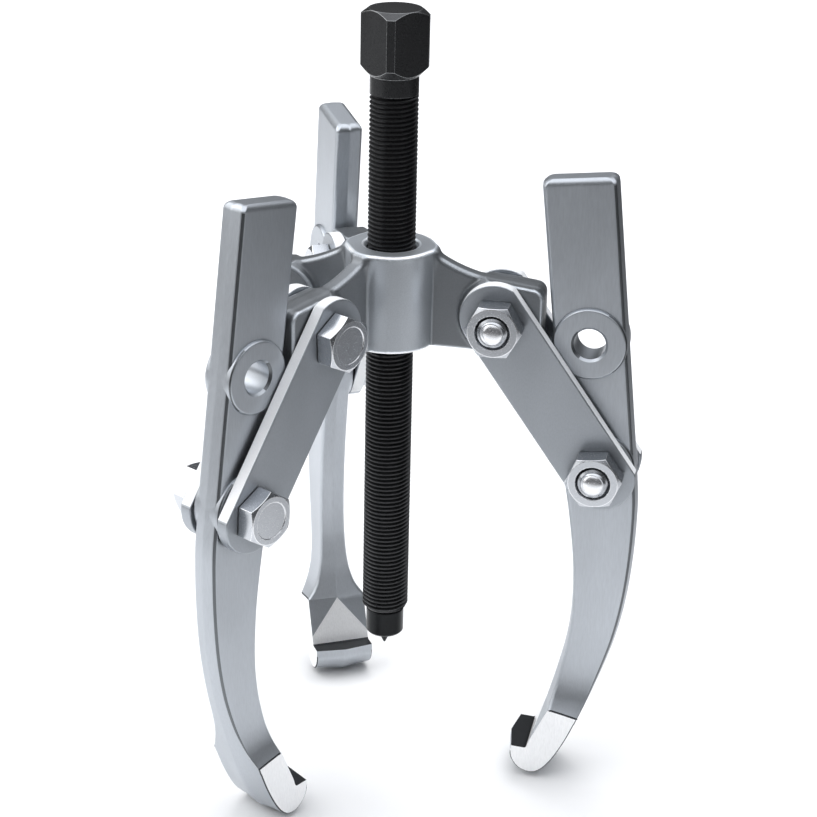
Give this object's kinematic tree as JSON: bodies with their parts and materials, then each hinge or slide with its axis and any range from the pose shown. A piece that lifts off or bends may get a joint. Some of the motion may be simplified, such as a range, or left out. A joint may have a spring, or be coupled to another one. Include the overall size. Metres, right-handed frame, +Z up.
{
  "type": "gear puller",
  "caption": "Adjustable gear puller: a forcing screw through a lugged crosshead, with bolted flat links carrying forged hook jaws.",
  "frame": {"origin": "centre of the flat top face of the forcing screw's square head, on the screw's axis", "axes": "+Z up along the forcing screw, away from the hooks; +X from the screw's axis towards arm 1; arm 2 is 120 degrees and arm 3 is 240 degrees counter-clockwise from above; the spare lug is on -X"},
  "size_m": [0.1441, 0.161, 0.2693],
  "materials": {
    "crosshead": "satin zinc-grey plated forging, darker than the links",
    "screw": "black-oxide steel with a light oil sheen",
    "centre": "black-oxide steel",
    "jaw": "satin blue-grey plated forging with bright ground foot flanks",
    "link": "satin blue-grey plated flat bar",
    "bolt": "bright zinc",
    "nut": "bright zinc"
  },
  "bodies": {
    "crosshead": {"crosshead": "crosshead", "upper_bolt_1": "bolt", "upper_nut_1": "nut", "upper_bolt_2": "bolt", "upper_nut_2": "nut", "upper_bolt_3": "bolt", "upper_nut_3": "nut"},
    "screw": {"forcing_screw": "screw"},
    "thrust_point": {"live_centre": "centre"},
    "links_1": {"link_1_head_side": "link", "link_1_nut_side": "link"},
    "lower_bolt_set_1": {"lower_bolt_1": "bolt", "lower_nut_1": "nut"},
    "jaw_arm_1": {"jaw_1": "jaw"},
    "links_2": {"link_2_head_side": "link", "link_2_nut_side": "link"},
    "lower_bolt_set_2": {"lower_bolt_2": "bolt", "lower_nut_2": "nut"},
    "jaw_arm_2": {"jaw_2": "jaw"},
    "links_3": {"link_3_head_side": "link", "link_3_nut_side": "link"},
    "lower_bolt_set_3": {"lower_bolt_3": "bolt", "lower_nut_3": "nut"},
    "jaw_arm_3": {"jaw_3": "jaw"}
  },
  "joints": [
    {"name": "screw_feed", "type": "slide", "parent": "crosshead", "child": "thrust_point", "axis": [0, 0, -1], "range_m": [-0.08, 0.048]},
    {"name": "screw_turn", "type": "hinge", "parent": "thrust_point", "child": "screw", "pos_m": [0, 0, -0.1], "axis": [0, 0, -1], "range_deg": [-19201, 11521]},
    {"name": "link_swing_1", "type": "hinge", "parent": "crosshead", "child": "links_1", "pos_m": [0.0378, 0, -0.0998], "axis": [0, -1, 0], "range_deg": [0, 40]},
    {"name": "bolt_level_1", "type": "hinge", "parent": "links_1", "child": "lower_bolt_set_1", "pos_m": [0.0732, 0, -0.1493], "axis": [0, -1, 0], "range_deg": [-40, 0]},
    {"name": "jaw_tilt_1", "type": "hinge", "parent": "lower_bolt_set_1", "child": "jaw_arm_1", "pos_m": [0.0732, 0, -0.1493], "axis": [0, 1, 0], "range_deg": [-0.5, 18]},
    {"name": "link_swing_2", "type": "hinge", "parent": "crosshead", "child": "links_2", "pos_m": [-0.0189, 0.03274, -0.0998], "axis": [0.866, 0.5, 0], "range_deg": [0, 40]},
    {"name": "bolt_level_2", "type": "hinge", "parent": "links_2", "child": "lower_bolt_set_2", "pos_m": [-0.0366, 0.06339, -0.1493], "axis": [0.866, 0.5, 0], "range_deg": [-40, 0]},
    {"name": "jaw_tilt_2", "type": "hinge", "parent": "lower_bolt_set_2", "child": "jaw_arm_2", "pos_m": [-0.0366, 0.06339, -0.1493], "axis": [-0.866, -0.5, 0], "range_deg": [-0.5, 18]},
    {"name": "link_swing_3", "type": "hinge", "parent": "crosshead", "child": "links_3", "pos_m": [-0.0189, -0.03274, -0.0998], "axis": [-0.866, 0.5, 0], "range_deg": [0, 40]},
    {"name": "bolt_level_3", "type": "hinge", "parent": "links_3", "child": "lower_bolt_set_3", "pos_m": [-0.0366, -0.06339, -0.1493], "axis": [-0.866, 0.5, 0], "range_deg": [-40, 0]},
    {"name": "jaw_tilt_3", "type": "hinge", "parent": "lower_bolt_set_3", "child": "jaw_arm_3", "pos_m": [-0.0366, -0.06339, -0.1493], "axis": [0.866, -0.5, 0], "range_deg": [-0.5, 18]}
  ],
  "couplings": [
    {"joint": "screw_turn", "follows": "screw_feed", "rad_per_m": 4188.8},
    {"joint": "bolt_level_1", "follows": "link_swing_1", "ratio": -1},
    {"joint": "bolt_level_2", "follows": "link_swing_2", "ratio": -1},
    {"joint": "bolt_level_3", "follows": "link_swing_3", "ratio": -1}
  ]
}
